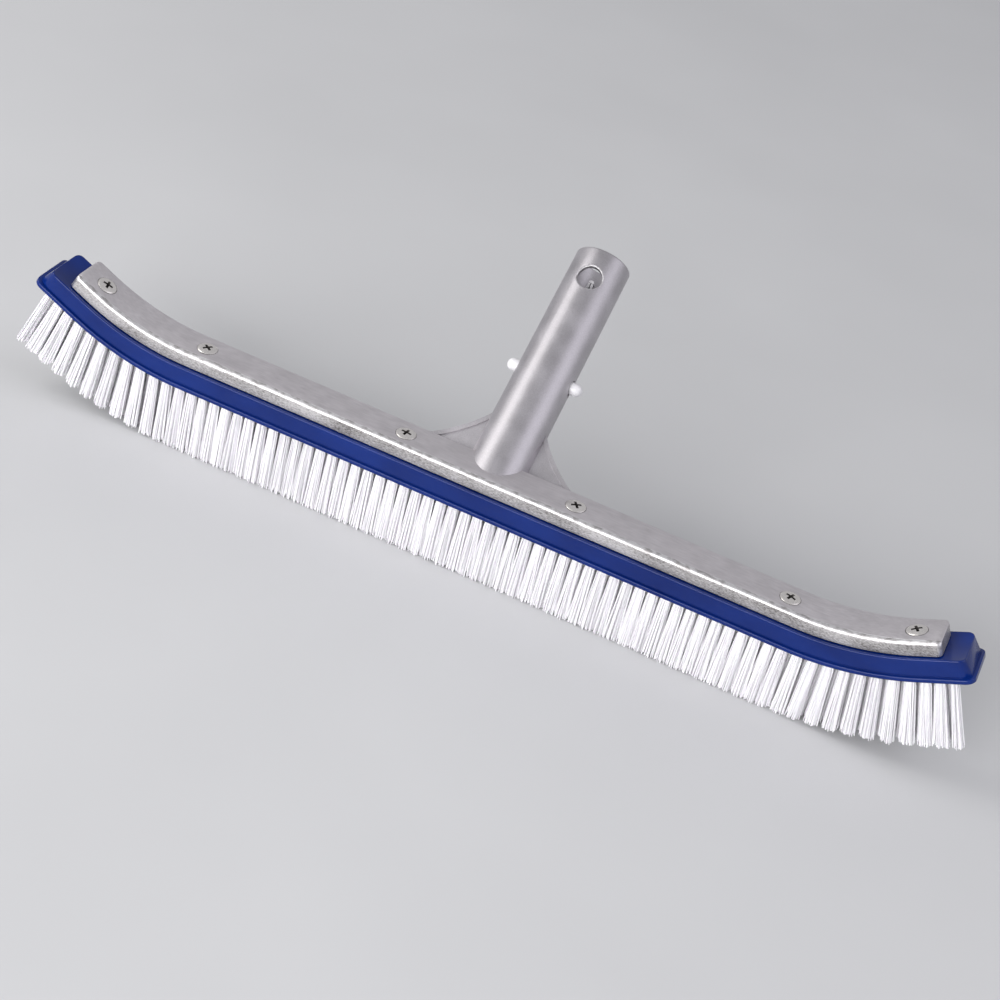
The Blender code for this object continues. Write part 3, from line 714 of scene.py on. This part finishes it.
lip_half = [
    *arc((LIP_HALF_DEPTH - LIP_EDGE, LIP_TOP - LIP_EDGE), LIP_EDGE, 90, 0, 4),
    *arc((LIP_HALF_DEPTH - FOOT_EDGE, BLOCK_BOTTOM + FOOT_EDGE), FOOT_EDGE, 0, -90, 3),
]
lip_section = [(-y, z) for y, z in reversed(lip_half)] + lip_half
lip_frames = frames_with_round_ends(BLOCK_HALF + LIP_END, LIP_CORNER, LIP_HALF_DEPTH, 28)
lip = piece_from("lip", drawn_along(lip_section, lip_frames), [block_blue])
carve(block, [(lip, "UNION")])
print("faces in the block:", len(block.data.polygons))

# %% [markdown]
# ## Where the tufts stand
#
# Five rows, each half a pitch over from the next and one tuft shorter than the row in front. Along the
# straight part the tufts stand upright. In the bends they fan out more than the block itself turns, so
# a small extra lean grows from nothing to 22 degrees.

# %% Tuft places
ROWS = 5
ROW_PITCH = 0.0052
TUFT_PITCH = 0.00631
FRONT_TUFTS = 72
FAN = math.radians(22.0)
FAN_DELAY = 0.0120
END_SQUEEZE = 0.78  # of the last tuft in each row, which has no neighbour to lean on
TRIM = 0.0350  # from the block to the trimmed tips


def tuft_line(along):
    """The frame of one tuft: its origin on the block's underside, z up the tuft."""
    side = math.copysign(1.0, along)
    lead = (abs(along) - STRAIGHT_HALF - FAN_DELAY) / BEND_RUN
    lean = FAN * min(max(lead, 0.0), 1.0)
    mouth = brush_line(along) @ Vector((0, 0, BLOCK_BOTTOM))
    return Matrix.Translation(mouth) @ Matrix.Rotation(-side * lean, 4, "Y")


def tuft_places():
    """(row, zone, frame, squeeze) of every tuft."""
    places = []
    for row in range(ROWS):
        across = Matrix.Translation((0, (row - (ROWS - 1) / 2) * ROW_PITCH, 0))
        count = FRONT_TUFTS - row
        for index in range(count):
            along = (index - (count - 1) / 2) * TUFT_PITCH
            zone = "left" if along < -STRAIGHT_HALF else "right" if along > STRAIGHT_HALF else "middle"
            squeeze = END_SQUEEZE if index in (0, count - 1) else 1.0
            places.append((row + 1, zone, tuft_line(along) @ across, squeeze))
    return places


places = tuft_places()
print("tufts:", len(places))

# %% Drill the tuft holes
TUFT_HOLE_RADIUS = 0.0020
TUFT_DRILL_LENGTH = 0.0060
TUFT_DRILL_MIDDLE = 0.0010  # above the block's underside
drills = bmesh.new()
for _, _, place, _ in places:
    bmesh.ops.create_cone(
        drills,
        cap_ends=True,
        segments=12,
        radius1=TUFT_HOLE_RADIUS,
        radius2=TUFT_HOLE_RADIUS,
        depth=TUFT_DRILL_LENGTH,
        matrix=place @ Matrix.Translation((0, 0, TUFT_DRILL_MIDDLE)),
    )
carve(block, [(piece_from("tuft_drills", drills, [block_blue]), "DIFFERENCE")])
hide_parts("brush_block")
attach(block, "brush")
print("faces in the drilled block:", len(block.data.polygons))

# %% [markdown]
# ## The tufts
#
# A tuft is some eighty nylon filaments, folded over a staple in their hole and trimmed level. They leave
# the hole tightly packed and splay towards the tips, where neighbours meet. A hair system could grow
# them, but real geometry can be exported. So a dozen different bundles are made with seeded dice, each
# filament a thin three-sided stick with one bend, and dealt out to the tufts with a random half turn.

# %% A dozen different bundles
FILAMENTS = 84
FILAMENT_RADIUS = 0.00028
ROOT_RADIUS = 0.00165
KNEE_SPREAD = (0.00265, 0.00200)  # just outside the hole
TIP_SPREAD = (0.00360, 0.00245)
RAGGED_SHARE = 0.22  # of the filaments, cut well short
GOLDEN_TURN = math.pi * (3 - math.sqrt(5))


def filament(builder, root, knee, tip, turn):
    """One stick that bends outwards just below its hole."""
    stand = Matrix.Translation(root) @ Matrix.Rotation(turn, 4, "Z")
    ring = bmesh.ops.create_circle(
        builder,
        cap_ends=True,
        segments=3,
        radius=FILAMENT_RADIUS,
        matrix=stand,
    )
    face = ring["verts"][0].link_faces[0]
    face = push_face(builder, face, Matrix.Translation(knee - root))
    push_face(builder, face, Matrix.Translation(tip - knee))


def bundle(seed):
    """The mesh of one tuft, its origin where it leaves the block."""
    dice = random.Random(seed)
    builder = bmesh.new()
    for index in range(FILAMENTS):
        ring = math.sqrt((index + 0.5) / FILAMENTS)
        turn = index * GOLDEN_TURN + dice.uniform(-0.35, 0.35)
        out = Vector((math.cos(turn), math.sin(turn), 0)) * ring
        splay = Vector((out.x * TIP_SPREAD[0], out.y * TIP_SPREAD[1], 0))
        splay += Vector((dice.gauss(0, 0.00030), dice.gauss(0, 0.00025), 0))
        short = abs(dice.gauss(0, 0.00075))
        if dice.random() < RAGGED_SHARE:
            short += dice.uniform(0.0008, 0.0030)
        root = out * ROOT_RADIUS + Vector((0, 0, 0.0030))
        knee = Vector((out.x * KNEE_SPREAD[0], out.y * KNEE_SPREAD[1], dice.uniform(-0.0045, -0.0030)))
        tip = splay + Vector((0, 0, short - TRIM))
        filament(builder, root, knee, tip, dice.uniform(0, 2))
    mesh = bpy.data.meshes.new(f"bundle_{seed}")
    bmesh.ops.recalc_face_normals(builder, faces=builder.faces)
    builder.to_mesh(mesh)
    builder.free()
    return mesh


BUNDLES = 12
bundles = [bundle(seed) for seed in range(BUNDLES)]
print("triangles in one bundle:", sum(len(face.vertices) - 2 for face in bundles[0].polygons))

# %% Deal the bundles out to the rows
dealer = random.Random(36)
rows = {}
for row, zone, place, squeeze in places:
    builder = rows.setdefault((row, zone), bmesh.new())
    copy = dealer.choice(bundles).copy()
    half_turn = Matrix.Rotation(dealer.choice((0.0, math.pi)) + dealer.gauss(0, 0.12), 4, "Z")
    copy.transform(place @ Matrix.Diagonal((squeeze, 1, 1, 1)) @ half_turn)
    builder.from_mesh(copy)
    bpy.data.meshes.remove(copy)
for (row, zone), builder in rows.items():
    tufts = piece_from(f"tufts_row{row}_{zone}", builder, [nylon])
    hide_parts(f"bristles_row{row}_{zone}")
    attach(tufts, "brush")
for mesh in bundles:
    bpy.data.meshes.remove(mesh)
print("tuft pieces:", len(rows))

# %% [markdown]
# ## The screws
#
# Six oval-head screws with a cross recess hold the bar to the block. The head and shank are turned, the
# recess is two tapered blades and a small drill point cut out, and the cutter brings its own painted
# shade, a near-black finish, with it. Each screw stopped at another angle when it was driven home.

# %% Turn and cut one screw
head_profile = [
    (0, -0.0113),
    (0.0009, -0.0113),
    (0.0021, -0.0092),
    (0.0021, -0.0019),
    (HEAD_RADIUS - 0.0001, 0.0),
    (HEAD_RADIUS, 0.0001),
    (HEAD_RADIUS - 0.0001, 0.00022),
    (0.0042, 0.00046),
    (0.0031, 0.00072),
    (0.0018, 0.00092),
    (0.0, 0.00099),
]
# The second finish is the painted shade that fills the cross recess.
STEEL = (bright_steel, recess_painted_shade)
RECESS = 1
BLADE_SIZE = (0.0063, 0.00140, 0.0040)
screw = piece_from("screw_pattern", turned_on_a_lathe(head_profile, 48, Matrix.Identity(4)), STEEL)
blades = []
for blade_turn in (0.0, math.pi / 2):
    blade = bmesh.new()
    size = Matrix.Diagonal((*BLADE_SIZE, 1))
    bmesh.ops.create_cube(blade, size=1, matrix=Matrix.Translation((0, 0, 0.0004)) @ size)
    low = [vert for vert in blade.verts if vert.co.z < 0]
    bmesh.ops.scale(blade, vec=(0.50, 0.75, 1), verts=low)
    bmesh.ops.rotate(blade, cent=(0, 0, 0), matrix=Matrix.Rotation(blade_turn, 3, "Z"), verts=blade.verts)
    blades.append((piece_from(f"blade_{len(blades)}", colour_all(blade, RECESS), STEEL), "DIFFERENCE"))
point = bmesh.new()
bmesh.ops.create_cone(
    point,
    cap_ends=True,
    segments=16,
    radius1=0.0004,
    radius2=0.00135,
    depth=0.0040,
    matrix=Matrix.Translation((0, 0, 0.00035)),
)
blades.append((piece_from("blade_point", colour_all(point, RECESS), STEEL), "DIFFERENCE"))
carve(screw, blades)

# %% Six screws, each at its own angle
SCREW_NAMES = ("left_outer", "left_middle", "left_inner", "right_inner", "right_middle", "right_outer")
SCREW_TURNS = (14, 52, -8, 33, 68, 24)  # degrees
for name, along, turn in zip(SCREW_NAMES, SCREWS_AT, SCREW_TURNS):
    fitted = bpy.data.objects.new(f"cross_screw_{name}", screw.data.copy())
    bpy.context.scene.collection.objects.link(fitted)
    fitted.data.transform(brush_line(along) @ Matrix.Rotation(math.radians(turn), 4, "Z"))
    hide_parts(f"screw_{name}")
    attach(fitted, "brush")
bpy.data.objects.remove(screw)
print("screws:", len(SCREW_NAMES))

# %% [markdown]
# ## The spring clip
#
# Inside the tube a white plastic strip is folded into a narrow V, and each leg carries a round-ended pin
# that stands out through the tube's side and snaps into the pole. In the model the fold stays with the
# brush, and each leg swings about its own axis just under the fold. The strips are outlines pushed to
# their width with softened edges, and the pins are turned.


# %% Strips and pins of the clip
CLIP_WIDTH = 0.0090
CLIP_THICKNESS = 0.0012
LEG_X = 0.00075
FOLD_RADIUS = 0.0014
PIVOT_AT = 0.0925
PIN_DROP = 0.0518
SPLAY = math.radians(8.44)
LEG_LENGTH = 0.05944
PIN_RADIUS = 0.003175
PIN_TIP = 0.01875
PIN_ROOT = 0.0070
EDGE_ROUND = 0.0002


def strip(outline, matrix):
    """A strip of the clip from its (x, z) edge outline, with softened edges."""
    builder = bmesh.new()
    near_side = [matrix @ Vector((x, -CLIP_WIDTH / 2, z)) for x, z in outline]
    face = builder.faces.new([builder.verts.new(spot) for spot in near_side])
    across = matrix.to_3x3() @ Vector((0, CLIP_WIDTH, 0))
    push_face(builder, face, Matrix.Translation(across))
    bmesh.ops.recalc_face_normals(builder, faces=builder.faces)
    rims = [edge for edge in builder.edges if edge.calc_face_angle() > math.radians(60)]
    bmesh.ops.bevel(
        builder,
        geom=rims,
        offset=EDGE_ROUND,
        segments=2,
        profile=0.5,
        affect="EDGES",
        material=-1,
        clamp_overlap=True,
    )
    return builder


fold_strip = strip(arc((0, 0), FOLD_RADIUS, 0, 180, 20), tube_line(PIVOT_AT + 0.0009))
fold = piece_from("clip_fold", fold_strip, [clip_white])
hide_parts("clip_bend")
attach(fold, "brush")

for side, name in ((-1, "left"), (1, "right")):
    pivot = tube_line(PIVOT_AT) @ Matrix.Translation((side * LEG_X, 0, 0))
    lean = pivot @ Matrix.Rotation(-side * SPLAY, 4, "Y")
    half = CLIP_THICKNESS / 2
    leg_outline = [*arc((0, 0), half, 0, 180, 12), (-half, -LEG_LENGTH), (half, -LEG_LENGTH)]
    leg = piece_from(f"clip_leg_and_pin_{name}", strip(leg_outline, lean), [clip_white])
    dome = arc((0, PIN_TIP - PIN_RADIUS), PIN_RADIUS, 0, 90, 10)
    pin_profile = [(0, PIN_ROOT), (PIN_RADIUS, PIN_ROOT), *dome[:-1], (0, PIN_TIP)]
    outwards = pivot @ Matrix.Translation((0, 0, -PIN_DROP)) @ Matrix.Rotation(side * math.pi / 2, 4, "Y")
    pin = piece_from(f"pin_{name}", turned_on_a_lathe(pin_profile, 48, outwards), [clip_white])
    carve(leg, [(pin, "UNION")])
    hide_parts(f"clip_leg_{name}")
    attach(leg, f"{name}_leg")
print("clip pieces ride on:", "brush, left_leg, right_leg")

# %% [markdown]
# ## Floor and light
#
# A pale floor and soft boxes, as in a small product studio. A round metal tube shows its lights as bands
# along it: the smaller box on the left gives the clear band, the wide box on the right gives the broad
# pale one, and between them the dimmer surroundings show. A frontal fill opens up the tufts.

# %% Floor
floor_builder = bmesh.new()
bmesh.ops.create_grid(floor_builder, x_segments=1, y_segments=1, size=4.0)
floor_finish, tree, shader = new_finish("pale_floor")
colour_from(tree, shader, grain(tree, 0.25), [(0.3, (0.58, 0.585, 0.59)), (0.7, (0.62, 0.625, 0.63))])
shader.inputs["Roughness"].default_value = 0.7
shader.inputs["Specular IOR Level"].default_value = 0.2
floor = piece_from("floor", floor_builder, [floor_finish])


# %% Lights
AIM = Vector((0, 0.02, 0.05))


def soft_box(name, place, width, height, power, colour):
    """An area light that faces the brush."""
    light = bpy.data.lights.new(name, "AREA")
    light.shape = "RECTANGLE"
    light.size = width
    light.size_y = height
    light.energy = power
    light.color = colour
    box = bpy.data.objects.new(name, light)
    bpy.context.scene.collection.objects.link(box)
    box.location = place
    box.rotation_euler = (AIM - Vector(place)).to_track_quat("-Z", "Y").to_euler()


soft_box("key_left", (-1.35, -0.25, 1.05), 0.9, 1.2, 9, (1.0, 0.99, 0.97))
soft_box("wide_right", (1.9, 0.10, 1.25), 1.6, 1.7, 9, (0.93, 0.91, 1.0))
soft_box("fill_front", (-0.5, -1.9, 0.75), 1.6, 1.0, 40, (1.0, 0.99, 1.0))

world = bpy.data.worlds.new("studio")
bpy.context.scene.world = world
world.use_nodes = True
world.node_tree.nodes["Background"].inputs["Color"].default_value = (0.96, 0.96, 1.0, 1.0)
world.node_tree.nodes["Background"].inputs["Strength"].default_value = 0.50
bpy.context.scene.view_settings.view_transform = "Standard"
print("lights:", len(bpy.data.lights))
